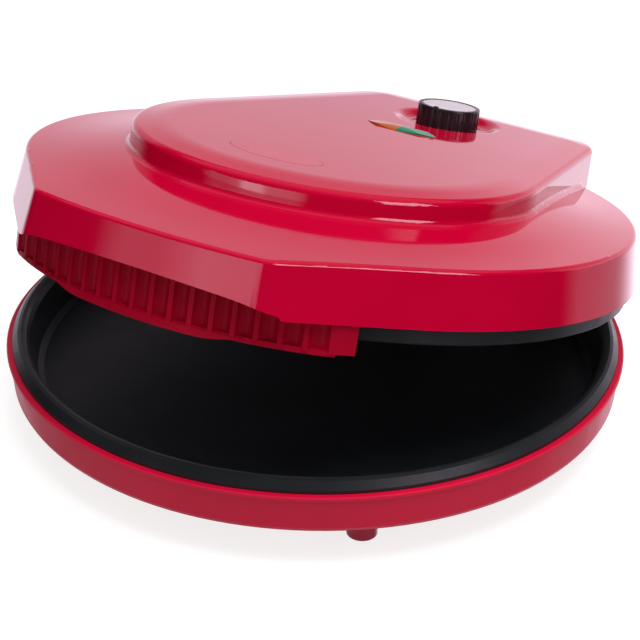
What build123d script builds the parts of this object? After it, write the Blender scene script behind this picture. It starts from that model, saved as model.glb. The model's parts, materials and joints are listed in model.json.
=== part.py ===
from build123d import *
import math
import os

os.makedirs("parts", exist_ok=True)

# ---------------------------------------------------------------- dimensions
# All numbers in millimetres and degrees.  Everything is laid out with the lid
# shut, +Z up, front (grip) towards -Y, hinge towards +Y.  The lid's own pieces
# are then swung open about the hinge axis by REST_OPEN, and the whole object is
# slid along Y by Y_SHIFT so that its bounding box is centred on the origin.
REST_OPEN = 13.4        # how far the lid stands open at rest
HINGE_Y = 178.0         # hinge axis, measured from the middle of the pan
HINGE_Z = 42.0
Y_SHIFT = -11.0
Z_SHIFT = 1.6           # the feet reach this far below the layout's z = 0

# base
FLOOR_Z = 10.0          # underside of the base bowl above the table
BOWL_T = 2.4
FLANGE_R = 168.0
FLANGE_Z0 = 39.2
FLANGE_Z1 = 41.6
BAND_R1 = 166.8         # band wall just under the flange
BAND_R0 = 165.2         # band wall at its lower edge
BAND_Z0 = 22.4
FOOT_R = 137.0          # feet on this radius, at 43, 137, 223, 317 degrees
FOOT_D = 16.0
PAD_D = 10.5

# baking pan
PAN_RIM_R = 164.8
PAN_CREST_R = 160.2
PAN_CREST_Z = 48.0
PAN_FLOOR_Z = 25.5
PAN_T = 2.5

# lid
LID_Z0 = 57.5           # lower edge of the side wall
LID_R = 167.4           # side wall radius at the lower edge
LID_D = 179.0           # front face distance at the lower edge
LID_FRONT_R = 286.0     # radius of the gently curved front face
LID_TAN = 46.9          # where the straight sides leave the round wall, degrees from the front
LID_CORNER = 18.0
LID_T = 2.6
DRAFT = 9.0
TIER_IN_Z = 92.4        # tier height at the foot of the plateau
TIER_BEND_R = 150.0     # the tier's slope eases at this radius
TIER_BEND_Z = 86.5
TIER_OUT_SLOPE = 0.07   # slope outside the bend
PLAT_R = 111.2          # plateau, radius of its round front
PLAT_W = 76.6           # plateau, half width of the flat back
PLAT_Y = 173.0          # plateau, distance of the flat back
PLAT_CORNER = 22.0      # rounding of its two rear corners
PLAT_DRAFT = 1.5
FOOT_COVE = 3.0         # hollow rounding between tier and plateau
TOP_Z = 106.7
TOP_DROP = 2.3          # soft fall of the top towards its edge
TOP_RUN = 16.0          # width of that fall
TOP_ROLL = 3.6          # rounding between the top and the plateau's wall
TOP_CROWN = 60.0        # rounding where the fall begins
KNOB_Y = 122.0
RECESS_R = 32.0
RECESS_Z = 103.0

# grip panel
GRIP_R0 = 165.8         # inner face
GRIP_Y = 171.2          # front of the ribs on the middle plane
GRIP_C = 168.0          # radius of the curve through the rib fronts
FLUTE_D = 3.8           # depth of the flutes
GRIP_Z0 = 42.7
GRIP_Z1 = 77.5
BAND_DROP = 3.2         # plain band under the flutes
END_DROP = 1.3          # the rib feet beside the band
RIB_N = 9               # ribs on each side of the middle one
RIB_PITCH = 10.4        # across the width
RIB_W = 2.4

# upper plate
PLATE_R = 163.6
PLATE_Z0 = 48.9
PLATE_Z1 = 62.0
PLATE_CEIL = 66.0

# hinge
PIN_D = 5.0
BARREL_R = 7.0
CHEEK_R = 8.0


# ------------------------------------------------------------------- helpers
def rev(pts):
    """Solid of revolution about Z from (radius, height) corner points."""
    return revolve(make_face(Plane.XZ * Polyline(*pts, close=True)), Axis.Z)


def cyl(x, y, z0, z1, r):
    return Pos(x, y, (z0 + z1) / 2) * Cylinder(r, z1 - z0)


def box(x0, x1, y0, y1, z0, z1):
    return Pos((x0 + x1) / 2, (y0 + y1) / 2, (z0 + z1) / 2) * Box(x1 - x0, y1 - y0, z1 - z0)


def xcyl(x0, x1, y, z, r):
    return Pos((x0 + x1) / 2, y, z) * Rot(0, 90, 0) * Cylinder(r, x1 - x0)


def polar(r, deg):
    """Point at radius r; 0 degrees is the front (-Y), positive towards +X."""
    a = math.radians(deg)
    return r * math.sin(a), -r * math.cos(a)


def sector2(r0, r1, a0, a1):
    """Flat ring sector between two radii and two angles (see polar)."""
    am = (a0 + a1) / 2
    e = [
        Line(polar(r0, a0), polar(r1, a0)),
        ThreePointArc(polar(r1, a0), polar(r1, am), polar(r1, a1)),
        Line(polar(r1, a1), polar(r0, a1)),
        ThreePointArc(polar(r0, a1), polar(r0, am), polar(r0, a0)),
    ]
    return Sketch() + make_face(Wire(e))


def up(sketch, z0, z1):
    """Extrude a flat outline between two heights."""
    return Pos(0, 0, z0) * extrude(sketch, z1 - z0, dir=(0, 0, 1))


def tangent_outline(r, w, d, corner):
    """Circle of radius r with two straight tangents running to a flat side at
    y = -d that is 2*w wide; the two corners are rounded."""
    h = math.hypot(w, d)
    al = math.atan2(w, d)
    be = math.degrees(al + math.acos(r / h))
    p = polar(r, be)
    q = (-p[0], p[1])
    e = [
        Line((-w, -d), (w, -d)),
        Line((w, -d), p),
        ThreePointArc(p, (0, r), q),
        Line(q, (-w, -d)),
    ]
    s = Sketch() + make_face(Wire(e))
    vs = [v for v in s.vertices() if v.Y < -d + 0.01]
    return fillet(vs, corner)


def lid_outline(off):
    """The lid's plan: a circle, two straight tangents and a gently curved front,
    moved inwards by off; the two front corners are rounded."""
    r, rf = LID_R - off, LID_FRONT_R - off
    t = math.radians(LID_TAN)
    p = (r * math.sin(t), -r * math.cos(t))
    u = (-math.cos(t), -math.sin(t))
    dx, dy = p[0], p[1] - (LID_FRONT_R - LID_D)
    b = dx * u[0] + dy * u[1]
    root = math.sqrt(b * b - dx * dx - dy * dy + rf * rf)
    k = min(v for v in (-b - root, -b + root) if v > 0)
    w, y = p[0] + k * u[0], p[1] + k * u[1]
    e = [
        ThreePointArc((-w, y), (0, off - LID_D), (w, y)),
        Line((w, y), p),
        ThreePointArc(p, (0, r), (-p[0], p[1])),
        Line((-p[0], p[1]), (-w, y)),
    ]
    s = Sketch() + make_face(Wire(e))
    return fillet([v for v in s.vertices() if v.Y < p[1] - 20], max(LID_CORNER - off, 3))


def pan_screw(r, length, head_r, head_h):
    """Cross-recess screw, head on top at z = 0..head_h, shank below."""
    s = cyl(0, 0, -length, 0, r) + cyl(0, 0, 0, head_h, head_r)
    s = fillet(s.faces().sort_by(Axis.Z)[-1].edges(), head_h * 0.45)
    w = head_r * 0.28
    cut = box(-head_r * 0.62, head_r * 0.62, -w / 2, w / 2, head_h * 0.4, head_h + 1)
    cut += box(-w / 2, w / 2, -head_r * 0.62, head_r * 0.62, head_h * 0.4, head_h + 1)
    return s - cut


def down(s):
    return Rot(180, 0, 0) * s


# -------------------------------------------------------------- lid envelope
def tier_body(t):
    """Side wall and sloping tier of the lid, offset inwards by t."""
    z0 = LID_Z0 if t == 0 else LID_Z0 - 2
    grow = 0 if t == 0 else 2 * math.tan(math.radians(DRAFT))
    o = lid_outline(t - grow)
    b = Pos(0, 0, z0) * extrude(o, 40, taper=DRAFT)
    s_in = (TIER_IN_Z - TIER_BEND_Z) / (TIER_BEND_R - 108.0)
    pa = (TIER_BEND_R - 14, TIER_BEND_Z + 14 * s_in - t)
    pb = (TIER_BEND_R + 14, TIER_BEND_Z - 14 * TIER_OUT_SLOPE - t)
    pm = (TIER_BEND_R, (TIER_BEND_Z - t + (pa[1] + pb[1]) / 2) / 2)
    out = (240, TIER_BEND_Z - (240 - TIER_BEND_R) * TIER_OUT_SLOPE - t)
    e = [
        Line((0, 40), (240, 40)),
        Line((240, 40), out),
        Line(out, pb),
        ThreePointArc(pb, pm, pa),
        Line(pa, (108, TIER_IN_Z - t)),
        Line((108, TIER_IN_Z - t), (0, TIER_IN_Z - t)),
        Line((0, TIER_IN_Z - t), (0, 40)),
    ]
    cap = revolve(Plane.XZ * make_face(Wire(e)), Axis.Z)
    return b & cap


def plateau(t):
    """Plateau wall; the top falls gently towards a rounded edge."""
    o = tangent_outline(PLAT_R - t, PLAT_W - t * 0.6, PLAT_Y - t, max(PLAT_CORNER - t, 3))
    o = Rot(0, 0, 180) * o
    z0 = LID_Z0 if t == 0 else LID_Z0 - 2
    z1 = TOP_Z - TOP_DROP - t
    b = Pos(0, 0, z0) * extrude(o, z1 - z0, taper=PLAT_DRAFT)
    b += extrude(Sketch() + b.faces().sort_by(Axis.Z)[-1], TOP_DROP, taper=math.degrees(math.atan2(TOP_RUN, TOP_DROP)))
    b = fillet([e for e in b.edges() if abs(e.center().Z - z1) < 0.05], TOP_ROLL if t == 0 else TOP_ROLL - 2.2)
    if t == 0:
        b = fillet([e for e in b.edges() if abs(e.center().Z - TOP_Z) < 0.02], TOP_CROWN)
    return b


def edge_band(body, z0, z1, rmin):
    out = []
    for e in body.edges():
        c = e.center()
        bb = e.bounding_box()
        if z0 <= bb.min.Z and bb.max.Z <= z1 and math.hypot(c.X, c.Y) >= 0:
            m = e.position_at(0.5)
            if math.hypot(m.X, m.Y) > rmin:
                out.append(e)
    return out


tier_out = tier_body(0)
top_edges = edge_band(tier_out, 82, 88, 120)
tier_out = fillet(top_edges, 2.2)
lid_outer = tier_out + plateau(0)
lid_outer = fillet([e for e in lid_outer.edges() if e.bounding_box().min.Z > 86 and e.bounding_box().max.Z < 96], FOOT_COVE)
lid_inner = tier_body(LID_T) + plateau(LID_T)

# the shell is thicker under the knob recess
lid_inner -= cyl(0, KNOB_Y, RECESS_Z - 2.6, TOP_Z + 5, RECESS_R + 3)
lid_shell = lid_outer - lid_inner

# shallow dish around the knob
dish_in = 21.5
run, rise = (RECESS_R - dish_in) / 2, (TOP_Z - RECESS_Z) / 2
dish_r = (run * run + rise * rise) / (2 * rise)
ha = math.asin(run / dish_r) / 2
sx, sz = dish_r * math.sin(ha), dish_r * (1 - math.cos(ha))
dish = revolve(Plane.XZ * make_face(Wire([
    Line((0, RECESS_Z), (dish_in, RECESS_Z)),
    ThreePointArc((dish_in, RECESS_Z), (dish_in + sx, RECESS_Z + sz), (dish_in + run, RECESS_Z + rise)),
    ThreePointArc((dish_in + run, RECESS_Z + rise), (RECESS_R - sx, TOP_Z - sz), (RECESS_R, TOP_Z)),
    Line((RECESS_R, TOP_Z), (RECESS_R, TOP_Z + 4)),
    Line((RECESS_R, TOP_Z + 4), (0, TOP_Z + 4)),
    Line((0, TOP_Z + 4), (0, RECESS_Z)),
])), Axis.Z)
lid_shell -= Pos(0, KNOB_Y, 0) * dish
lid_shell -= cyl(0, KNOB_Y, 90, 115, 5.0)

# arched lower edge of the front face (room for the fingers)
arch = Plane.XZ * make_face(
    Wire([
        Line((-86, 50), (-86, LID_Z0)),
        Spline((-86, LID_Z0), (-76, 59.2), (-69.6, 61.5), (-62, 63.1), (-48, 64.5), (-25, 65.7), (0, 66.2),
               (25, 65.7), (48, 64.5), (62, 63.1), (69.6, 61.5), (76, 59.2), (86, LID_Z0), tangents=[(1, 0), (1, 0)]),
        Line((86, LID_Z0), (86, 50)),
        Line((86, 50), (-86, 50)),
    ])
)
arch = Pos(0, -130, 0) * extrude(arch, 60, dir=(0, -1, 0))
lid_shell -= arch


# marquise window for the two signal lenses, oval seat for the plain badge
def marquise(l, w, cy, z0, z1):
    e = [
        ThreePointArc((-l / 2, cy), (0, cy + w / 2), (l / 2, cy)),
        ThreePointArc((l / 2, cy), (0, cy - w / 2), (-l / 2, cy)),
    ]
    return Pos(0, 0, z0) * extrude(make_face(Wire(e)), z1 - z0, dir=(0, 0, 1))


LENS_Y = 67.8
LENS_L = 45.0
LENS_W = 15.6
LENS_DOME = 1.5
BADGE_Y = -61.5
BADGE_L = 54.0
BADGE_W = 27.0
lid_shell -= marquise(LENS_L, LENS_W, LENS_Y, 95, 112)
badge_seat = Pos(0, BADGE_Y, TOP_Z - 0.7) * extrude(Sketch() + Ellipse(BADGE_L / 2, BADGE_W / 2), 3)
lid_shell -= badge_seat

# bosses inside the lid shell: plate screws, grip screws
PLATE_SCREWS = [(polar(140, a)) for a in (50, 130, 230, 310)]
GRIP_SCREWS = [(47.3, -166.3), (68.2, -158.6), (-47.3, -166.3), (-68.2, -158.6)]
bosses = None
for (x, y) in PLATE_SCREWS:
    b = cyl(x, y, 72, 96, 4.6)
    bosses = b if bosses is None else bosses + b
for (x, y) in GRIP_SCREWS:
    bosses += cyl(x, y, GRIP_Z1 + 0.1, 96, 3.2)
bosses = bosses & lid_inner
lid_shell = lid_shell + bosses
for (x, y) in PLATE_SCREWS:
    lid_shell -= cyl(x, y, 71, 82.0, 1.5)
for (x, y) in GRIP_SCREWS:
    lid_shell -= cyl(x, y, 77, 82.0, 1.1)

# ---------------------------------------------------------------- grip panel
fit_inner = tier_body(LID_T + 0.3)
# scalloped flutes with narrow ribs between them, evenly spaced across the width
gcy = GRIP_C - GRIP_Y
gx = RIB_N * RIB_PITCH
ends = (gx + 8.0, -134.0)


def front_y(x):
    return gcy - math.sqrt(GRIP_C ** 2 - x * x)


def on_r0(x):
    return x, -math.sqrt(GRIP_R0 ** 2 - x * x)


def blank(grow=0.0, r0=GRIP_R0, xe=ends[0]):
    """Plan outline of the panel without its flutes."""
    g = grow
    xi, yi = xe - 1.0, -math.sqrt(r0 ** 2 - (xe - 1.0) ** 2)
    w = [
        ThreePointArc((-gx - g, front_y(gx) - g), (0, -GRIP_Y - g), (gx + g, front_y(gx) - g)),
        Line((gx + g, front_y(gx) - g), (xe + g, ends[1])),
        Line((xe + g, ends[1]), (xi, yi)),
        ThreePointArc((xi, yi), (0, -r0), (-xi, yi)),
        Line((-xi, yi), (-xe - g, ends[1])),
        Line((-xe - g, ends[1]), (-gx - g, front_y(gx) - g)),
    ]
    return Sketch() + make_face(Wire(w))


flutes = blank()
flutes = fillet([v for v in flutes.vertices() if abs(abs(v.X) - gx) < 0.1], 2.0)
cuts = None
for i in range(2 * RIB_N):
    x0 = (i - RIB_N) * RIB_PITCH
    x1 = x0 + RIB_PITCH
    c = (math.hypot(x1 - x0, front_y(x1) - front_y(x0)) - RIB_W) / 2
    fr = (c * c + FLUTE_D ** 2) / (2 * FLUTE_D)
    am = (math.asin(x0 / GRIP_C) + math.asin(x1 / GRIP_C)) / 2
    rr = GRIP_C - FLUTE_D + fr
    cut = Pos(rr * math.sin(am), gcy - rr * math.cos(am)) * Circle(fr)
    cuts = cut if cuts is None else cuts + cut
flutes = flutes - cuts
ledge = flutes + blank(-0.5)
head = blank(0.4) & (Sketch() + Pos(0, -150) * Rectangle(2 * gx, 80))
head += sector2(GRIP_R0, 177.5, -26, -11.5)
head += sector2(GRIP_R0, 177.5, 11.5, 26)
GRIP_ZM = LID_Z0 - 0.2
grip = up(ledge, GRIP_Z0, GRIP_Z0 + 1.4) + up(flutes, GRIP_Z0 + 1.4, GRIP_ZM)
# outside the base's flange the panel reaches lower: a plain band in the middle,
# the feet of the ribs on either side of it
outside = Sketch() + Pos(0, -100) * Rectangle(2 * gx + 2, 200) - Circle(FLANGE_R + 0.8)
feet_2d = blank(-0.5) & outside
band_2d = blank(0.2) & outside & (Sketch() + Pos(0, -165) * Rectangle(2 * 5.5 * RIB_PITCH, 60))
band = up(band_2d, GRIP_Z0 - BAND_DROP, GRIP_Z0 + 0.6)
bx = (5.5 * RIB_PITCH, 4.9 * RIB_PITCH, 4.2 * RIB_PITCH, 3.4 * RIB_PITCH)
under = Plane.XZ * make_face(Wire([
    Line((-100, 20), (-100, GRIP_Z0)), Line((-100, GRIP_Z0), (-bx[0], GRIP_Z0)),
    Spline((-bx[0], GRIP_Z0), (-bx[1], GRIP_Z0 - 0.9), (-bx[2], GRIP_Z0 - 2.4), (-bx[3], GRIP_Z0 - BAND_DROP), tangents=[(1, 0), (1, 0)]),
    Line((-bx[3], GRIP_Z0 - BAND_DROP), (bx[3], GRIP_Z0 - BAND_DROP)),
    Spline((bx[3], GRIP_Z0 - BAND_DROP), (bx[2], GRIP_Z0 - 2.4), (bx[1], GRIP_Z0 - 0.9), (bx[0], GRIP_Z0), tangents=[(1, 0), (1, 0)]),
    Line((bx[0], GRIP_Z0), (100, GRIP_Z0)), Line((100, GRIP_Z0), (100, 20)), Line((100, 20), (-100, 20)),
]))
band -= Pos(0, -120, 0) * extrude(under, 80, dir=(0, -1, 0))
grip += band
grip += up(feet_2d, GRIP_Z0 - END_DROP, GRIP_Z0 + 0.6)
grip = grip.solids().sort_by(lambda q: q.volume)[-1]
grip += (up(flutes, GRIP_ZM, GRIP_Z1 - 2.5) + up(head, GRIP_Z1 - 2.5, GRIP_Z1)) & fit_inner
for (x, y) in GRIP_SCREWS:
    grip -= cyl(x, y, 70, 80, 1.45)
    grip -= cyl(x, y, 44.6, GRIP_Z1 - 2.5, 2.8)
grip_screws = [Pos(x, y, GRIP_Z1 - 2.5) * down(pan_screw(1.1, 6.5, 2.6, 1.6)) for (x, y) in GRIP_SCREWS]

# --------------------------------------------------------------- upper plate
# inverted pan with its hollow facing down
plate_prof = [
    (0, PLATE_CEIL + 2.0), (150.6, PLATE_CEIL + 2.0), (154.6, PLATE_CEIL - 2.6), (158.6, PLATE_Z0 + 2.0),
    (161.9, PLATE_Z0 + 2.0), (161.3, PLATE_Z1), (162.9, PLATE_Z1), (PLATE_R, PLATE_Z0 + 1.0),
    (PLATE_R - 1.0, PLATE_Z0), (157.0, PLATE_Z0), (152.4, PLATE_CEIL - 3.6), (149.6, PLATE_CEIL), (0, PLATE_CEIL),
]
upper_plate = rev(plate_prof)
for (x, y) in PLATE_SCREWS:
    upper_plate += cyl(x, y, PLATE_CEIL + 1, 72 - 0.1, 6.0)
    upper_plate -= cyl(x, y, 60, 74, 1.75)
    upper_plate -= cyl(x, y, PLATE_CEIL - 1, PLATE_CEIL + 2.4, 3.6)
U_POSTS = [polar(62, a) for a in (30, 150, 270)]
for (x, y) in U_POSTS:
    upper_plate += cyl(x, y, PLATE_CEIL + 1, 70.0, 5.0)
    upper_plate -= cyl(x, y, PLATE_CEIL + 1.0, 71, 1.5)
plate_screws = [Pos(x, y, PLATE_CEIL + 2.4) * down(pan_screw(1.5, 12.5, 3.3, 1.9)) for (x, y) in PLATE_SCREWS]

# upper reflector stands on three tube posts over the element
REF_UZ = 78.5
upper_reflector = rev([(0, REF_UZ), (108, REF_UZ), (113.4, REF_UZ - 6.4), (114.4, REF_UZ - 6.4), (108.6, REF_UZ + 0.8), (0, REF_UZ + 0.8)])
for x in (-15.6, 15.6):
    upper_reflector -= box(x - 5, x + 5, 104, 120, 70, REF_UZ - 0.9)
upper_posts = []
upper_post_screws = []
for (x, y) in U_POSTS:
    upper_reflector -= cyl(x, y, 76, 80, 1.75)
    upper_posts.append(cyl(x, y, 70.0, REF_UZ, 3.5) - cyl(x, y, 69, 80, 1.75))
    upper_post_screws.append(Pos(x, y, REF_UZ + 0.8) * pan_screw(1.5, 11.5, 3.0, 1.8))


# tubular heating element: open ring whose ends turn outwards to two terminals
def heater(ring_r, z, zt, r):
    gap = 9.0
    p0 = polar(ring_r, 180 - gap)
    p1 = polar(ring_r, -180 + gap)
    pm = polar(ring_r, 0)
    arc = ThreePointArc(p1, pm, p0)
    body = sweep(Plane(origin=arc @ 0, z_dir=arc % 0) * Circle(r), path=arc)
    body = Pos(0, 0, z) * body
    out = body
    for sx in (1, -1):
        x, y = polar(ring_r, sx * (180 - gap))
        knee = Pos(x, y, z) * Sphere(r)
        leg = Pos(x, y + 5.5, z) * Rot(90, 0, 0) * Cylinder(r, 11)
        pin = Pos(x, y + 14.5, z) * Rot(90, 0, 0) * Cylinder(1.3, 10)
        out = out + knee + leg + pin
    return out


HEAT_UZ = 72.6
upper_heater = heater(100.0, HEAT_UZ, 0, 3.2)
HEAT_LZ = 18.9
lower_heater = heater(100.0, HEAT_LZ, 0, 3.2)


def heater_clip(r, deg, z, foot_z, tube_r):
    """Strap over the element with a flat foot on the reflector."""
    s = 1 if foot_z < z else -1
    t = 0.8
    ri = tube_r + 0.1
    ro = ri + t
    ring = Rot(90, 0, 0) * (Cylinder(ro, 8) - Cylinder(ri, 10))
    half = ring & box(-10, 10, -6, 6, 0, 10)
    depth = abs(z - foot_z)
    legs = box(ri, ro, -4, 4, -depth, 0.05) + box(-ro, -ri, -4, 4, -depth, 0.05)
    feet = box(ri, ro + 3.3, -4, 4, -depth, -depth + t) + box(-ro - 3.3, -ri, -4, 4, -depth, -depth + t)
    c = half + legs + feet
    if s < 0:
        c = Rot(180, 0, 0) * c
    x, y = polar(r, deg)
    return Pos(x, y, z) * Rot(0, 0, deg + 90) * c


# ------------------------------------------------------------------ base bowl
bowl = rev([
    (0, FLOOR_Z), (134, FLOOR_Z), (160.5, 18.2), (164.2, 20.4), (BAND_R0, BAND_Z0), (BAND_R1, FLANGE_Z0),
    (FLANGE_R - 0.4, FLANGE_Z0), (FLANGE_R, FLANGE_Z0 + 0.5), (FLANGE_R, FLANGE_Z1 - 0.6), (FLANGE_R - 0.6, FLANGE_Z1),
    (163.2, FLANGE_Z1), (162.8, FLANGE_Z1 - 0.4), (162.7, BAND_Z0 + 1), (160.0, 20.6), (133.6, FLOOR_Z + BOWL_T), (0, FLOOR_Z + BOWL_T),
])
bowl_env = rev([
    (0, FLOOR_Z), (134, FLOOR_Z), (160.5, 18.2), (164.2, 20.4), (BAND_R0, BAND_Z0), (BAND_R1, FLANGE_Z0),
    (FLANGE_R - 0.4, FLANGE_Z0), (FLANGE_R, FLANGE_Z0 + 0.5), (FLANGE_R, FLANGE_Z1), (0, FLANGE_Z1),
])

FEET = [polar(FOOT_R, a) for a in (43, 137, 223, 317)]
feet = []
pads = []
foot_screws = []
for (x, y) in FEET:
    f = cyl(x, y, 0.8 - Z_SHIFT, 18, FOOT_D / 2)
    f = fillet(f.faces().sort_by(Axis.Z)[0].edges(), 1.6)
    f = f - bowl_env
    f = f - cyl(x, y, -3, 1.0, PAD_D / 2) - cyl(x, y, 3.5, 30, 1.6)
    bowl -= cyl(x, y, 5, 25, 1.9)
    f = f.solids().sort_by(Axis.Z)[0] if len(f.solids()) > 1 else f
    feet.append(f)
    pads.append(cyl(x, y, -Z_SHIFT, 1.0, PAD_D / 2))
    top = 14.8
    bowl += cyl(x, y, FLOOR_Z + 1.2, top, 5.5) & bowl_env
    bowl -= cyl(x, y, 5, 25, 1.9)
    foot_screws.append(Pos(x, y, top) * pan_screw(1.6, 10.6, 3.2, 1.9))

# three bosses carry reflector, posts and pan
POSTS = [polar(62, a) for a in (0, 120, 240)]
BOSS_Z = 14.0
REF_LZ = BOSS_Z
pan_posts = []
pan_screws = []
for (x, y) in POSTS:
    bowl += cyl(x, y, FLOOR_Z + 1.2, BOSS_Z, 6.0)
    bowl -= cyl(x, y, 5, 20, 1.9)
lower_reflector = rev([(0, REF_LZ), (108, REF_LZ), (113.6, REF_LZ + 6.4), (112.6, REF_LZ + 6.4), (107.6, REF_LZ + 0.8), (0, REF_LZ + 0.8)])
for x in (-15.6, 15.6):
    lower_reflector -= box(x - 5, x + 5, 104, 120, REF_LZ + 1.0, 30)
for (x, y) in POSTS:
    lower_reflector -= cyl(x, y, 10, 20, 1.9)
    pan_posts.append(cyl(x, y, REF_LZ + 0.8, 20.0, 4.0) - cyl(x, y, 10, 25, 1.9))
    pan_screws.append(Pos(x, y, FLOOR_Z) * down(pan_screw(1.6, 13.6, 3.4, 2.0)))

# ---------------------------------------------------------------- baking pan
pan = rev([
    (0, PAN_FLOOR_Z - PAN_T), (149.6, PAN_FLOOR_Z - PAN_T), (153.4, PAN_FLOOR_Z), (157.2, 43.0), (160.0, 45.6), (162.2, 43.6),
    (162.6, 41.7), (PAN_RIM_R, 41.7), (PAN_RIM_R, 43.6), (161.9, 47.2), (PAN_CREST_R, PAN_CREST_Z), (158.4, 47.5), (157.0, 46.0),
    (155.4, 43.4), (151.8, PAN_FLOOR_Z + 2.4), (148.6, PAN_FLOOR_Z), (0, PAN_FLOOR_Z),
])
for (x, y) in POSTS:
    pan += cyl(x, y, 20.0, PAN_FLOOR_Z - 1, 6.0)
    pan -= cyl(x, y, 19, PAN_FLOOR_Z - 1.4, 1.6)

# ------------------------------------------------------ hinge, left and right
HX = 45.0


def bracket(sx):
    x0, x1 = (HX - 14, HX + 14) if sx > 0 else (-HX - 14, -HX + 14)
    neck = box(x0, x1, 150, 170.2, 25, 38.8)
    rear = box(x0, x1, 170, 190, 25, 34.4)
    stop = box(x0, x1, 186.2, 190, 25, 42.6)
    c = neck + rear + stop
    for (a, b) in ((x0, x0 + 5), (x1 - 5, x1)):
        c += box(a, b, 170, 186.5, 30, HINGE_Z) + xcyl(a, b, HINGE_Y, HINGE_Z, CHEEK_R)
    c = c - bowl_env
    c = c.solids().sort_by(Axis.Y)[-1] if len(c.solids()) > 1 else c
    c -= xcyl(x0 - 1, x1 + 1, HINGE_Y, HINGE_Z, PIN_D / 2)
    return c


def arm(sx):
    xm = HX * sx
    plate = box(xm - 12, xm + 12, 160, 175.4, 59.5, 88)
    plate = fillet([e for e in plate.edges() if abs(e.center().Y - 167.7) < 0.2 and e.center().Z > 80], 5.0)
    neck = box(xm - 7.6, xm + 7.6, 171.6, 175.4, HINGE_Z, 62)
    c = plate + neck + xcyl(xm - 7.6, xm + 7.6, HINGE_Y, HINGE_Z, BARREL_R)
    c = c - lid_outer
    c = c.solids().sort_by(Axis.Y)[-1] if len(c.solids()) > 1 else c
    c -= xcyl(xm - 10, xm + 10, HINGE_Y, HINGE_Z, PIN_D / 2 + 0.05)
    for z in (66.0, 80.0):
        c -= Pos(xm, 170, z) * Rot(90, 0, 0) * Cylinder(1.9, 30)
    return c


arms = {}
brackets = {}
pins = {}
washers = []
arm_screws = []
bracket_screws = []
for sx, nm in ((-1, "left"), (1, "right")):
    brackets[nm] = bracket(sx)
    arms[nm] = arm(sx)
    xm = HX * sx
    p = xcyl(xm - 14, xm + 14, HINGE_Y, HINGE_Z, PIN_D / 2) + xcyl(xm - 15.4, xm - 14, HINGE_Y, HINGE_Z, 4.0) + xcyl(xm + 14, xm + 15.4, HINGE_Y, HINGE_Z, 4.0)
    pins[nm] = p
    for (a, b) in ((xm - 9, xm - 7.75), (xm + 7.75, xm + 9)):
        washers.append(xcyl(a, b, HINGE_Y, HINGE_Z, 6.4) - xcyl(a - 1, b + 1, HINGE_Y, HINGE_Z, PIN_D / 2))
    for z in (66.0, 80.0):
        arm_screws.append(Pos(xm, 175.4, z) * Rot(-90, 0, 0) * pan_screw(1.6, 11.5, 3.3, 1.9))
        lid_shell -= Pos(xm, 168, z) * Rot(90, 0, 0) * Cylinder(1.9, 12)
    for dx in (-7.0, 7.0):
        deg = 180 - math.degrees(math.asin((xm + dx) / 165.0))
        x, y = polar(162.75, deg)
        # screw from inside the bowl, pointing outwards
        s = Rot(0, 0, deg) * Rot(90, 0, 0) * Rot(0, 0, 0) * down(pan_screw(1.6, 10.0, 3.0, 1.8))
        s = Pos(x, y, 31.0) * s
        bracket_screws.append((s, x, y, deg))

# clear holes for the bracket screws
bs = []
for (s, x, y, deg) in bracket_screws:
    hole = Pos(x, y, 31.0) * Rot(0, 0, deg) * Rot(90, 0, 0) * Pos(0, 0, 4) * Cylinder(1.9, 16)
    bowl -= hole
    tap = Pos(x, y, 31.0) * Rot(0, 0, deg) * Rot(90, 0, 0) * Pos(0, 0, 5.5) * Cylinder(1.6, 11)
    for nm in brackets:
        brackets[nm] -= tap
    bs.append(s)
bracket_screws = [s - bowl for s in bs]

# ---------------------------------------------------------- mains parts, base
GL_A = -150.0
gx, gy = polar(166.0, GL_A)
gland = Rot(90, 0, 0) * (Cylinder(6.0, 14) + Pos(0, 0, 4.6) * Cylinder(8.0, 3.4) + Pos(0, 0, -1.55) * Cylinder(7.6, 1.6) - Cylinder(3.1, 40))
gland = Pos(gx, gy, 31.0) * Rot(0, 0, GL_A) * gland
bowl -= Pos(gx, gy, 31.0) * Rot(0, 0, GL_A) * Rot(90, 0, 0) * Cylinder(6.0, 14)

gland = gland - bowl
TB_Y = 123.5
terminal_block = box(-21.5, 21.5, TB_Y - 6, TB_Y + 6, FLOOR_Z + BOWL_T, 22.2)
for x in (-15.6, 0, 15.6):
    terminal_block -= cyl(x, TB_Y, 20.6, 23, 2.4)
    terminal_block -= Pos(x, TB_Y, HEAT_LZ) * Rot(90, 0, 0) * Cylinder(1.6, 30)
terminal_screws = [cyl(x, TB_Y, 20.6, 22.0, 2.4) - box(x - 3, x + 3, TB_Y - 0.3, TB_Y + 0.3, 21.4, 23) for x in (-15.6, 0, 15.6)]

thermal_fuse = Pos(34.6, TB_Y, 17.0) * Rot(0, 90, 0) * (Cylinder(2.2, 14) + Cylinder(0.6, 26))


def lead(points, r, bend=4.0):
    """Insulated lead: straight runs joined by small bends."""
    path = FilletPolyline(*points, radius=bend)
    return sweep(Plane(origin=path @ 0, z_dir=path % 0) * Circle(r), path=path)


base_leads = {}
for nm, side, dx, dy, dz in (("live", -1, -15.6, 134.6, 19.4), ("neutral", 1, 0.0, 140.4, 21.5)):
    x0, y0 = polar(158.4, GL_A)
    x0 -= 1.75 * side * math.cos(math.radians(GL_A))
    y0 -= 1.75 * side * math.sin(math.radians(GL_A))
    n = math.hypot(x0, y0)
    ux, uy = x0 / n, y0 / n
    base_leads[nm] = lead([
        (ux * 150.4, uy * 150.4, dz),
        (dx - 22.0, dy, dz), (dx, dy, HEAT_LZ), (dx, TB_Y + 6.0, HEAT_LZ)], 1.1, 2.0)

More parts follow.
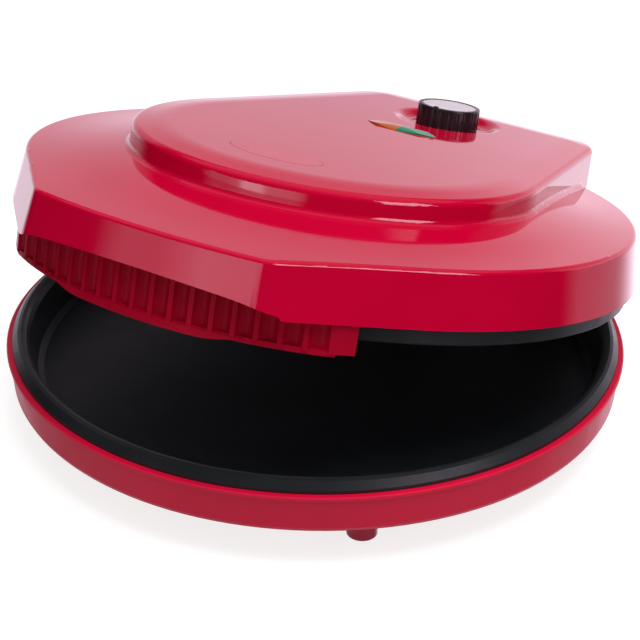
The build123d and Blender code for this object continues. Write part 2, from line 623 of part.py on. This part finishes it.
# --------------------------------------------------------------- lid controls
def half_lens(l, w, side, z0, z1):
    """One half of the pointed oval, from the middle to the tip at x = side*l/2."""
    rm = ((l / 2) ** 2 + (w / 2) ** 2) / w
    cx = l / 4
    dy = math.sqrt(rm * rm - cx * cx) - (rm - w / 2)
    g = 0.05 * side
    e = [
        Line((g, LENS_Y + w / 2), (g, LENS_Y - w / 2)),
        ThreePointArc((g, LENS_Y - w / 2), (side * cx, LENS_Y - dy), (side * l / 2, LENS_Y)),
        ThreePointArc((side * l / 2, LENS_Y), (side * cx, LENS_Y + dy), (g, LENS_Y + w / 2)),
    ]
    return up(Sketch() + make_face(Wire(e)), z0, z1)


def lens(side):
    stem = half_lens(LENS_L - 0.3, LENS_W - 0.3, side, TOP_Z - LID_T - 0.1, TOP_Z + LENS_DOME + 1)
    # pillow-shaped top: one arch across the lens, a flatter one along it
    ry = ((LENS_W / 2) ** 2 + LENS_DOME ** 2) / (2 * LENS_DOME)
    rx = ((LENS_L / 2) ** 2 + LENS_DOME ** 2) / (2 * LENS_DOME)
    zt = TOP_Z + 0.1 + LENS_DOME
    stem = stem & (Pos(0, LENS_Y, zt - ry) * Rot(0, 90, 0) * Cylinder(ry, 60))
    stem = stem & (Pos(0, LENS_Y, zt - rx) * Rot(90, 0, 0) * Cylinder(rx, 40))
    rim = half_lens(LENS_L + 4, LENS_W + 4, side, TOP_Z - LID_T - 1.6, TOP_Z - LID_T - 0.1)
    return stem + rim


lens_amber = lens(-1)
lens_green = lens(1)

lamp_holder = box(-27, 27, 57, 81, 91.5, 93.5) + box(-27, -24.5, 57, 81, 93.5, TOP_Z - LID_T) + box(24.5, 27, 57, 81, 93.5, TOP_Z - LID_T)
for x in (-10, 10):
    lamp_holder -= cyl(x, LENS_Y, 90, 95, 3.05)
lamps = [cyl(x, LENS_Y, 86, 99, 3.0) + Pos(x, LENS_Y, 99) * Sphere(3.0) for x in (-10, 10)]

# thermostat under the knob
th_body = cyl(0, KNOB_Y, 84, 97, 15.0) + box(-12, 12, KNOB_Y - 18, KNOB_Y + 18, 86, 95)
th_body += cyl(0, KNOB_Y, 97, RECESS_Z - 2.6, 8.0)
th_body -= cyl(0, KNOB_Y, 92, 110, 3.05)
th_screw_xy = [(-6.2, KNOB_Y - 0.0), (6.2, KNOB_Y + 0.0)]
for (x, y) in th_screw_xy:
    lid_shell -= cyl(x * 2, y, 95, 110, 1.6)
th_body += box(-16, 16, KNOB_Y - 4, KNOB_Y + 4, 98.4, RECESS_Z - 2.6)
th_body -= cyl(0, KNOB_Y, 92, 110, 3.05)
for (x, y) in th_screw_xy:
    th_body -= cyl(x * 2, y, 95.4, 110, 1.4)
th_screws = [Pos(x * 2, y, RECESS_Z) * pan_screw(1.4, 7.4, 2.6, 1.2) for (x, y) in th_screw_xy]

spindle = cyl(0, KNOB_Y, 92.3, 112.0, 3.0) - box(1.9, 5, KNOB_Y - 5, KNOB_Y + 5, 105.5, 113)

# knob: fluted black drum with a pale disc and a raised pointer at the front
KNOB_R = 18.0
KNOB_Z0 = RECESS_Z + 0.5
KNOB_Z1 = 115.7
knob = cyl(0, KNOB_Y, KNOB_Z0, KNOB_Z1, KNOB_R)
knob = fillet(knob.faces().sort_by(Axis.Z)[-1].edges(), 0.7)
FL_N = 24
for i in range(FL_N):
    x, y = polar(KNOB_R + 0.9, i * 360 / FL_N)
    knob -= cyl(x, KNOB_Y + y, KNOB_Z0 - 1, KNOB_Z1 - 1.3, 1.7)
knob -= cyl(0, KNOB_Y, KNOB_Z1 - 1.0, KNOB_Z1 + 1, 15.6)
knob -= cyl(0, KNOB_Y, KNOB_Z0 - 1, KNOB_Z1 - 3.0, 15.2) - cyl(0, KNOB_Y, KNOB_Z0 - 1, KNOB_Z1 - 3.0, 6.0)
knob += Pos(0, KNOB_Y - 16.45, KNOB_Z1 - 0.2) * Box(2.4, 1.5, 1.8)
knob -= cyl(0, KNOB_Y, KNOB_Z0 - 1, 112.0, 3.0) - box(1.9, 5, KNOB_Y - 5, KNOB_Y + 5, 105.5, 113)
knob_disc = cyl(0, KNOB_Y, KNOB_Z1 - 1.0, KNOB_Z1 - 0.3, 15.6)

badge = Pos(0, BADGE_Y, TOP_Z - 0.7) * extrude(Sketch() + Ellipse(BADGE_L / 2 - 0.25, BADGE_W / 2 - 0.25), 0.75)

# capillary from the thermostat to a bulb clamped on the upper plate
bulb = Pos(-52, 119, PLATE_CEIL + 2.0 + 2.6) * Rot(0, 90, 0) * Cylinder(2.5, 44)
bulb += lead([(-31, 119, 70.6), (-24, 119, 70.6), (-24, 119, 90), (-14.8, 119, 90)], 0.8, 4.0)
bulb_clips = []
for x in (-66.0, -40.0):
    b = box(x - 3, x + 3, 119 - 3.4, 119 + 3.4, 68.0, 74.0) + box(x - 3, x + 3, 119 + 3.0, 119 + 10, 68.0, 68.8)
    b -= Pos(x, 119, 70.6) * Rot(0, 90, 0) * Cylinder(2.55, 20) + box(x - 5, x + 5, 119 - 2.55, 119 + 2.55, 67, 70.6)
    bulb_clips.append(b)

# leads of the upper element
upper_leads = {}
for sx, nm in ((1, "a"), (-1, "b")):
    upper_leads[nm] = lead([(15.6 * sx, 118.3, HEAT_UZ), (15.6 * sx, 128, HEAT_UZ), (8 * sx, 128, 79), (8 * sx, 128, 84)], 1.25, 2.4)

# ------------------------------------------------------------------- export
LID_PLACE = Pos(0, Y_SHIFT, Z_SHIFT) * Pos(0, HINGE_Y, HINGE_Z) * Rot(-REST_OPEN, 0, 0) * Pos(0, -HINGE_Y, -HINGE_Z)
BASE_PLACE = Pos(0, Y_SHIFT, Z_SHIFT)


def put(name, shape, place):
    if isinstance(shape, (list, tuple)):
        solids = []
        for s in shape:
            solids += list((place * s).solids())
        out = Compound(children=solids)
    else:
        out = place * shape
        solids = list(out.solids())
        out = solids[0] if len(solids) == 1 else Compound(children=solids)
    out.label = name
    export_step(out, "parts/" + name + ".step")
    n = len(solids)
    bb = out.bounding_box()
    print("%-22s solids %2d vol %9.0f  x %7.1f %7.1f  y %7.1f %7.1f  z %6.1f %6.1f %s" % (
        name, n, sum(s.volume for s in solids), bb.min.X, bb.max.X, bb.min.Y, bb.max.Y, bb.min.Z, bb.max.Z,
        "" if all(s.is_valid for s in solids) else "INVALID"))


put("base_bowl", bowl, BASE_PLACE)
put("feet", feet, BASE_PLACE)
put("foot_pads", pads, BASE_PLACE)
put("foot_screws", foot_screws, BASE_PLACE)
put("baking_pan", pan, BASE_PLACE)
put("pan_posts", pan_posts, BASE_PLACE)
put("pan_screws", pan_screws, BASE_PLACE)
put("lower_reflector", lower_reflector, BASE_PLACE)
put("lower_heater", lower_heater, BASE_PLACE)
put("lower_heater_clips", [heater_clip(100.0, a, HEAT_LZ, REF_LZ + 0.8, 3.2) for a in (0, 120, 240)], BASE_PLACE)
put("terminal_block", terminal_block, BASE_PLACE)
put("terminal_screws", terminal_screws, BASE_PLACE)
put("thermal_fuse", thermal_fuse, BASE_PLACE)
put("base_lead_live", base_leads["live"], BASE_PLACE)
put("base_lead_neutral", base_leads["neutral"], BASE_PLACE)
put("cord_gland", gland, BASE_PLACE)
put("hinge_bracket_left", brackets["left"], BASE_PLACE)
put("hinge_bracket_right", brackets["right"], BASE_PLACE)
put("hinge_bracket_screws", bracket_screws, BASE_PLACE)
put("hinge_pin_left", pins["left"], BASE_PLACE)
put("hinge_pin_right", pins["right"], BASE_PLACE)
put("hinge_washers", washers, BASE_PLACE)

put("lid_shell", lid_shell, LID_PLACE)
put("grip_panel", grip, LID_PLACE)
put("grip_screws", grip_screws, LID_PLACE)
put("upper_plate", upper_plate, LID_PLACE)
put("upper_plate_screws", plate_screws, LID_PLACE)
put("upper_posts", upper_posts, LID_PLACE)
put("upper_post_screws", upper_post_screws, LID_PLACE)
put("upper_reflector", upper_reflector, LID_PLACE)
put("upper_heater", upper_heater, LID_PLACE)
put("upper_heater_clips", [heater_clip(100.0, a, HEAT_UZ, REF_UZ, 3.2) for a in (0, 120, 240)], LID_PLACE)
put("hinge_arm_left", arms["left"], LID_PLACE)
put("hinge_arm_right", arms["right"], LID_PLACE)
put("hinge_arm_screws", arm_screws, LID_PLACE)
put("lens_amber", lens_amber, LID_PLACE)
put("lens_green", lens_green, LID_PLACE)
put("lamp_holder", lamp_holder, LID_PLACE)
put("signal_lamps", lamps, LID_PLACE)
put("thermostat_body", th_body, LID_PLACE)
put("thermostat_screws", th_screws, LID_PLACE)
put("thermostat_bulb", bulb, LID_PLACE)
put("bulb_clips", bulb_clips, LID_PLACE)
put("upper_lead_a", upper_leads["a"], LID_PLACE)
put("upper_lead_b", upper_leads["b"], LID_PLACE)
put("badge", badge, LID_PLACE)

put("knob_body", knob, LID_PLACE)
put("knob_disc", knob_disc, LID_PLACE)
put("knob_spindle", spindle, LID_PLACE)
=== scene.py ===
import bpy
import bmesh
import json
import math
from mathutils import Vector, Matrix

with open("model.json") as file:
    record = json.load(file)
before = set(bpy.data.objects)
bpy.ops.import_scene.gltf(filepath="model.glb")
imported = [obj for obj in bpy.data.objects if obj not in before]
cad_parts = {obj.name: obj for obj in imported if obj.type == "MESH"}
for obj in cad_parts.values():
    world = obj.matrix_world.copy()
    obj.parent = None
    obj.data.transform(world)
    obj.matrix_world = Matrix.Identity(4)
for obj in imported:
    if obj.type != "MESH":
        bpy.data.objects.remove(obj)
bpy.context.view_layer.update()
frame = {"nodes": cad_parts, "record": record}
N = frame["nodes"]
scene = bpy.context.scene
scene.view_settings.view_transform = "Standard"
scene.view_settings.look = "None"

# ------------------------------------------------------------------ the lid's own frame
# Pieces on the lid are laid out with the lid shut, in millimetres, and carried by LID to
# where the lid stands at rest.  Z up, front towards -Y.
OPEN = math.radians(13.4)
LID = (Matrix.Translation((0, -0.011, 0.0016)) @ Matrix.Translation((0, 0.178, 0.042))
       @ Matrix.Rotation(-OPEN, 4, "X") @ Matrix.Translation((0, -0.178, -0.042)))
BASE = Matrix.Translation((0, -0.011, 0.0016))


# ------------------------------------------------------------------ node helpers
class Mat:
    """A small builder for one procedural material."""

    def __init__(self, name, **sockets):
        self.m = bpy.data.materials.new(name)
        self.m.use_nodes = True
        self.t = self.m.node_tree
        self.b = self.t.nodes["Principled BSDF"]
        self.out = self.t.nodes["Material Output"]
        for k, v in sockets.items():
            self.set(k.replace("_", " "), v)
        self.coord = self.t.nodes.new("ShaderNodeTexCoord")
        self.bump_n = None

    def set(self, socket, value):
        s = self.b.inputs[socket]
        if isinstance(value, (tuple, list)) and len(value) == 3 and s.type == "RGBA":
            value = (*value, 1.0)
        s.default_value = value

    def node(self, kind, **inputs):
        n = self.t.nodes.new(kind)
        for k, v in inputs.items():
            if k in n.inputs:
                n.inputs[k].default_value = v
            else:
                setattr(n, k, v)
        return n

    def link(self, a, b):
        self.t.links.new(a, b)
        return b

    def mapped(self, scale=(1, 1, 1), rot=(0, 0, 0), loc=(0, 0, 0)):
        mp = self.t.nodes.new("ShaderNodeMapping")
        mp.inputs["Scale"].default_value = scale
        mp.inputs["Rotation"].default_value = rot
        mp.inputs["Location"].default_value = loc
        self.link(self.coord.outputs["Object"], mp.inputs["Vector"])
        return mp.outputs["Vector"]

    def noise(self, scale, detail=3.0, rough=0.55, vec=None, distortion=0.0):
        n = self.t.nodes.new("ShaderNodeTexNoise")
        n.inputs["Scale"].default_value = scale
        n.inputs["Detail"].default_value = detail
        n.inputs["Roughness"].default_value = rough
        n.inputs["Distortion"].default_value = distortion
        self.link(vec if vec is not None else self.coord.outputs["Object"], n.inputs["Vector"])
        return n.outputs["Fac"]

    def ramp(self, fac, stops, mode="LINEAR"):
        r = self.t.nodes.new("ShaderNodeValToRGB")
        r.color_ramp.interpolation = mode
        e = r.color_ramp.elements
        while len(e) < len(stops):
            e.new(0.5)
        for el, (p, c) in zip(e, stops):
            el.position = p
            el.color = (*c, 1.0) if len(c) == 3 else c
        self.link(fac, r.inputs["Fac"])
        return r.outputs["Color"]

    def remap(self, fac, a, b, lo=0.0, hi=1.0):
        r = self.t.nodes.new("ShaderNodeMapRange")
        r.inputs["From Min"].default_value = lo
        r.inputs["From Max"].default_value = hi
        r.inputs["To Min"].default_value = a
        r.inputs["To Max"].default_value = b
        self.link(fac, r.inputs["Value"])
        return r.outputs["Result"]

    def math(self, op, a, b=None, clamp=False):
        n = self.t.nodes.new("ShaderNodeMath")
        n.operation = op
        n.use_clamp = clamp
        for i, v in enumerate((a, b)):
            if v is None:
                continue
            if isinstance(v, (int, float)):
                n.inputs[i].default_value = v
            else:
                self.link(v, n.inputs[i])
        return n.outputs[0]

    def mix(self, fac, a, b, blend="MIX"):
        n = self.t.nodes.new("ShaderNodeMix")
        n.data_type = "RGBA"
        n.blend_type = blend
        for sock, v in (("Factor", fac), ("A", a), ("B", b)):
            idx = {"Factor": 0, "A": 6, "B": 7}[sock]
            s = n.inputs[idx]
            if isinstance(v, (int, float)):
                s.default_value = v
            elif isinstance(v, (tuple, list)):
                s.default_value = (*v, 1.0) if len(v) == 3 else v
            else:
                self.link(v, s)
        return n.outputs[2]

    def bump(self, height, strength=0.2, dist=0.0005):
        b = self.t.nodes.new("ShaderNodeBump")
        b.inputs["Strength"].default_value = strength
        b.inputs["Distance"].default_value = dist
        self.link(height, b.inputs["Height"])
        if self.bump_n is not None:
            self.link(self.bump_n, b.inputs["Normal"])
        self.bump_n = b.outputs["Normal"]
        self.link(self.bump_n, self.b.inputs["Normal"])
        return self.bump_n

    def color(self, out):
        self.link(out, self.b.inputs["Base Color"])

    def rough(self, out):
        self.link(out, self.b.inputs["Roughness"])


def plastic(name, base, dark, rough=(0.07, 0.12), peel=0.02, ior=1.5, speck=0.0, tone=26.0):
    """Moulded gloss plastic: faint colour drift, orange peel and a slightly uneven polish."""
    m = Mat(name, Roughness=rough[0], IOR=ior)
    big = m.noise(tone, 2.0, 0.5)
    m.color(m.ramp(big, [(0.30, dark), (0.70, base)]))
    smudge = m.noise(60.0, 4.0, 0.6)
    m.rough(m.remap(smudge, rough[0], rough[1], 0.3, 0.7))
    m.bump(m.noise(420.0, 2.0, 0.5), peel, 0.0004)
    if speck:
        m.bump(m.noise(2600.0, 2.0, 0.6), speck, 0.0002)
    return m.m


def metal(name, base, rough=(0.25, 0.4), metallic=1.0, brush=None, tone=40.0, dark=None):
    m = Mat(name, Metallic=metallic, Roughness=rough[0])
    big = m.noise(tone, 3.0, 0.6)
    dark = dark or tuple(c * 0.82 for c in base)
    m.color(m.ramp(big, [(0.30, dark), (0.70, base)]))
    if brush:
        v = m.mapped(scale=brush)
        n = m.noise(1.0, 4.0, 0.6, vec=v)
    else:
        n = m.noise(700.0, 3.0, 0.6)
    m.rough(m.remap(n, rough[0], rough[1], 0.3, 0.7))
    m.bump(n, 0.08, 0.0002)
    return m.m


M = {}
M["red_lid"] = plastic("lid_red_gloss", (0.47, 0.0007, 0.028), (0.45, 0.0006, 0.025), (0.04, 0.07), 0.012, 1.5)
M["red_grip"] = plastic("grip_dark_red", (0.36, 0.0006, 0.018), (0.32, 0.0005, 0.015), (0.22, 0.30), 0.03)
M["red_grip"].node_tree.nodes["Principled BSDF"].inputs["Specular IOR Level"].default_value = 0.07
M["red_base"] = plastic("base_red", (0.62, 0.003, 0.038), (0.58, 0.0025, 0.034), (0.36, 0.44), 0.012)
M["red_base"].node_tree.nodes["Principled BSDF"].inputs["Specular IOR Level"].default_value = 0.32
M["red_foot"] = plastic("foot_red", (0.50, 0.003, 0.03), (0.44, 0.002, 0.025), (0.18, 0.28), 0.05)
M["badge_red"] = plastic("badge_red", (0.50, 0.002, 0.03), (0.46, 0.002, 0.026), (0.12, 0.2), 0.02)
M["hinge_plastic"] = plastic("hinge_red", (0.34, 0.002, 0.02), (0.30, 0.002, 0.018), (0.30, 0.42), 0.1)
M["foot_rubber"] = plastic("foot_rubber", (0.022, 0.022, 0.024), (0.016, 0.016, 0.018), (0.6, 0.8), 0.2)
M["gland_black"] = plastic("gland_black", (0.018, 0.018, 0.02), (0.012, 0.012, 0.014), (0.4, 0.55), 0.15)
M["nonstick"] = plastic("nonstick_grey", (0.013, 0.015, 0.017), (0.009, 0.0105, 0.012), (0.30, 0.42), 0.05, 1.5, 0.12)
M["nonstick"].node_tree.nodes["Principled BSDF"].inputs["Specular IOR Level"].default_value = 0.36
M["reflector_steel"] = metal("reflector_steel", (0.62, 0.63, 0.65), (0.2, 0.35))
M["heater_sheath"] = metal("heater_sheath", (0.12, 0.11, 0.11), (0.45, 0.6))
M["post_steel"] = metal("post_steel", (0.55, 0.56, 0.58), (0.3, 0.42))
M["screw_steel"] = metal("screw_steel", (0.58, 0.58, 0.6), (0.25, 0.38))
M["hinge_steel"] = metal("hinge_steel", (0.5, 0.5, 0.52), (0.3, 0.42), brush=(40, 900, 40))
M["ceramic_block"] = plastic("ceramic_block", (0.78, 0.75, 0.68), (0.7, 0.67, 0.6), (0.25, 0.4), 0.05)
M["brass_parts"] = metal("brass_parts", (0.72, 0.52, 0.22), (0.25, 0.4))
M["lead_live"] = plastic("lead_live", (0.16, 0.05, 0.02), (0.12, 0.04, 0.015), (0.5, 0.6), 0.1)
M["lead_neutral"] = plastic("lead_neutral", (0.03, 0.08, 0.30), (0.02, 0.06, 0.24), (0.5, 0.6), 0.1)
M["lead_upper"] = plastic("lead_upper", (0.62, 0.6, 0.55), (0.5, 0.48, 0.44), (0.7, 0.8), 0.3)
M["lens_amber"] = plastic("lens_amber", (0.46, 0.10, 0.016), (0.40, 0.08, 0.012), (0.12, 0.18), 0.01)
M["lens_green"] = plastic("lens_green", (0.006, 0.19, 0.085), (0.005, 0.16, 0.07), (0.12, 0.18), 0.01)
M["holder_white"] = plastic("holder_white", (0.68, 0.67, 0.62), (0.6, 0.59, 0.55), (0.5, 0.6), 0.1)
M["lamp_glass"] = plastic("lamp_glass", (0.75, 0.72, 0.66), (0.65, 0.6, 0.55), (0.05, 0.1), 0.01)
M["phenolic"] = plastic("phenolic", (0.04, 0.028, 0.022), (0.03, 0.02, 0.016), (0.35, 0.5), 0.1)
M["copper_bulb"] = metal("copper_bulb", (0.66, 0.33, 0.2), (0.3, 0.45))
M["knob_black"] = plastic("knob_black", (0.012, 0.010, 0.012), (0.008, 0.007, 0.009), (0.24, 0.34), 0.08)
M["knob_disc"] = metal("knob_disc", (0.76, 0.68, 0.73), (0.3, 0.42), metallic=0.35, brush=(30, 1400, 30))

record = frame["record"]
slot_of = {s["node"]: s["material_slot"] for s in record["subparts"]}
for name, ob in N.items():
    mat = M[slot_of[name]]
    ob.data.materials.clear()
    ob.data.materials.append(mat)

# ------------------------------------------------------------------ camera
AZ, EL, ROLL, DIST = 32.39, 28.37, 1.13, 1.0663
TARGET = Vector((0.00186, 0.00136 - 0.011, 0.05488 - 0.0064))
a, e, r = math.radians(AZ), math.radians(EL), math.radians(ROLL)
back = Vector((math.sin(a) * math.cos(e), -math.cos(a) * math.cos(e), math.sin(e)))
right = Vector((math.cos(a), math.sin(a), 0))
up = back.cross(right)
R = math.cos(r) * right + math.sin(r) * up
U = -math.sin(r) * right + math.cos(r) * up
cam_data = bpy.data.cameras.new("camera")
cam = bpy.data.objects.new("camera", cam_data)
scene.collection.objects.link(cam)
rot = Matrix((R, U, back)).transposed().to_4x4()
cam.matrix_world = Matrix.Translation(TARGET + back * DIST) @ rot
cam_data.sensor_width = 36.0
cam_data.lens = 1945.2 / 640 * 36.0
cam_data.clip_end = 50
scene.camera = cam

# ------------------------------------------------------------------ floor
def disc(name, z, radius, mat):
    b = bmesh.new()
    bmesh.ops.create_circle(b, cap_ends=True, radius=radius, segments=96)
    me = bpy.data.meshes.new(name)
    b.to_mesh(me)
    b.free()
    o = bpy.data.objects.new(name, me)
    scene.collection.objects.link(o)
    o.location = (0, 0, z)
    me.materials.append(mat)
    return o


def pale(name, tone, glow):
    f = Mat(name, Roughness=0.9)
    f.set("Specular IOR Level", 0.0)
    f.set("Emission Color", (1, 1, 1))
    f.set("Emission Strength", glow)
    f.color(f.ramp(f.noise(3.0, 2.0), [(0.3, (tone - 0.01,) * 3), (0.7, (tone,) * 3)]))
    return f.m


# one sheet is what is seen; the other, just under it, is what lights the object from below
seen = disc("floor", -0.0002, 4.0, pale("floor_white", 0.34, 0.80))
seen.visible_diffuse = seen.visible_glossy = seen.visible_shadow = False
bounce = disc("floor_bounce", -0.0006, 1.6, pale("floor_grey", 0.45, 0.0))
bounce.visible_camera = bounce.visible_glossy = False

# ------------------------------------------------------------------ light
# A studio sweep: a pale backdrop behind that fades upwards, a dark room in front with one low
# softbox, one softbox high on the right and a dim ceiling.  The gloss sees these; the soft
# even light of the room comes from a plain level and one large lamp.
world = bpy.data.worlds.new("studio")
scene.world = world
world.use_nodes = True
wt = world.node_tree
bg = wt.nodes["Background"]
tc = wt.nodes.new("ShaderNodeTexCoord")
sep = wt.nodes.new("ShaderNodeSeparateXYZ")
wt.links.new(tc.outputs["Generated"], sep.inputs[0])
DX, DY, DZ = sep.outputs
DEG = 180 / math.pi


def wmath(op, a, b=None, clamp=False):
    n = wt.nodes.new("ShaderNodeMath")
    n.operation = op
    n.use_clamp = clamp
    for i, v in enumerate((a, b)):
        if v is None:
            continue
        if isinstance(v, (int, float)):
            n.inputs[i].default_value = v
        else:
            wt.links.new(v, n.inputs[i])
    return n.outputs[0]


def wstep(v, lo, hi, a=0.0, b=1.0):
    """a below lo, b above hi, smooth in between."""
    n = wt.nodes.new("ShaderNodeMapRange")
    n.interpolation_type = "SMOOTHSTEP"
    wt.links.new(v, n.inputs["Value"])
    if lo > hi:
        lo, hi, a, b = hi, lo, b, a
    n.inputs["From Min"].default_value = lo
    n.inputs["From Max"].default_value = hi
    n.inputs["To Min"].default_value = a
    n.inputs["To Max"].default_value = b
    return n.outputs["Result"]


def wcurve(v, pts):
    """Straight runs between (degrees, level) points."""
    r = wt.nodes.new("ShaderNodeValToRGB")
    lo, hi = pts[0][0], pts[-1][0]
    e = r.color_ramp.elements
    while len(e) < len(pts):
        e.new(0.5)
    for el, (p, c) in zip(e, pts):
        el.position = (p - lo) / (hi - lo)
        el.color = (c / 8, c / 8, c / 8, 1)
    m = wt.nodes.new("ShaderNodeMapRange")
    wt.links.new(v, m.inputs["Value"])
    m.inputs["From Min"].default_value = lo
    m.inputs["From Max"].default_value = hi
    wt.links.new(m.outputs["Result"], r.inputs["Fac"])
    return wmath("MULTIPLY", r.outputs["Color"], 8.0)


def mul(*v):
    out = v[0]
    for w in v[1:]:
        out = wmath("MULTIPLY", out, w)
    return out


def add(*v):
    out = v[0]
    for w in v[1:]:
        out = wmath("ADD", out, w)
    return out


AZB = wmath("MULTIPLY", wmath("ARCTAN2", DX, DY), DEG)  # 0 straight behind, 90 to the right
AZF = wmath("MULTIPLY", wmath("ARCTAN2", wmath("MULTIPLY", DX, -1.0), wmath("MULTIPLY", DY, -1.0)), DEG)  # 0 in front, 90 to the left
ELV = wmath("MULTIPLY", wmath("ARCSINE", DZ), DEG)

sweep = mul(wcurve(ELV, [(-90, 1.0), (-14, 1.0), (-5, 0.84), (0, 0.68), (5, 0.58), (10, 0.50), (20, 0.46), (24, 0.28), (30, 0.07), (34, 0.03), (90, 0.03)]),
            wstep(AZB, -88, -70), wstep(AZB, 58, 46),
            add(1.0, mul(wstep(AZB, -30, -17), wstep(ELV, 17, 6), 0.55)),
            add(1.0, mul(wstep(AZB, -2, 22), wstep(ELV, -3, -9), -0.62)))
front_box = mul(wcurve(AZF, [(-18, 0.0), (-13, 1.2), (-9, 1.5), (8, 1.8), (17, 2.0), (23, 1.3), (28, 0.95), (37, 0.95), (40, 0.6), (44, 0.04), (46, 0.0)]),
                wstep(ELV, -4, -1), wstep(ELV, 19, 15))
front_strip = mul(wstep(AZF, 3, 9), wstep(AZF, 22, 17), wstep(ELV, -2, 1), wstep(ELV, 8, 5), 2.4)
side_box = mul(wstep(AZB, 86, 90), wstep(AZB, 121, 118), wstep(ELV, 12, 14), wstep(ELV, 38, 34), 6.0)
ceiling = mul(wstep(ELV, 36, 44), wstep(DY, -0.55, 0.05, 0.08, 0.36))
low = mul(wstep(ELV, -16, -25), wstep(AZF, -125, -112), wstep(AZF, 100, 84), 0.5)
shine = add(sweep, front_box, front_strip, side_box, ceiling, low)

lp = wt.nodes.new("ShaderNodeLightPath")
tone_n = wt.nodes.new("ShaderNodeMix")
tone_n.data_type = "RGBA"
wt.links.new(lp.outputs["Is Glossy Ray"], tone_n.inputs[0])
tone_n.inputs[6].default_value = (1, 1, 1, 1)
tone_n.inputs[7].default_value = (1.14, 1.0, 1.15, 1)
wt.links.new(tone_n.outputs[2], bg.inputs["Color"])
side_n = wt.nodes.new("ShaderNodeVectorMath")
side_n.operation = "DOT_PRODUCT"
wt.links.new(tc.outputs["Generated"], side_n.inputs[0])
side_n.inputs[1].default_value = (0.88, -0.22, 0.42)
soft = wstep(side_n.outputs["Value"], -0.8, 0.6, 0.22, 0.62)  # dimmer on the left
not_glossy = wmath("SUBTRACT", 1.0, lp.outputs["Is Glossy Ray"])
plain_level = wmath("MAXIMUM", soft, lp.outputs["Is Camera Ray"])
wt.links.new(add(mul(shine, lp.outputs["Is Glossy Ray"]), mul(plain_level, not_glossy)), bg.inputs["Strength"])
world.cycles.sampling_method = "NONE"


def area(name, at, look, size, size_y, power, color=(1, 1, 1)):
    d = bpy.data.lights.new(name, "AREA")
    d.shape = "RECTANGLE"
    d.size = size
    d.size_y = size_y
    d.energy = power
    d.color = color
    o = bpy.data.objects.new(name, d)
    scene.collection.objects.link(o)
    o.location = at
    o.rotation_mode = "QUATERNION"
    o.rotation_quaternion = (Vector(look) - Vector(at)).to_track_quat("-Z", "Y")
    o.visible_glossy = False
    o.visible_camera = False
    return o


area("key", (0.50, -0.24, 1.78), (0, 0, 0.08), 1.1, 1.1, 30)
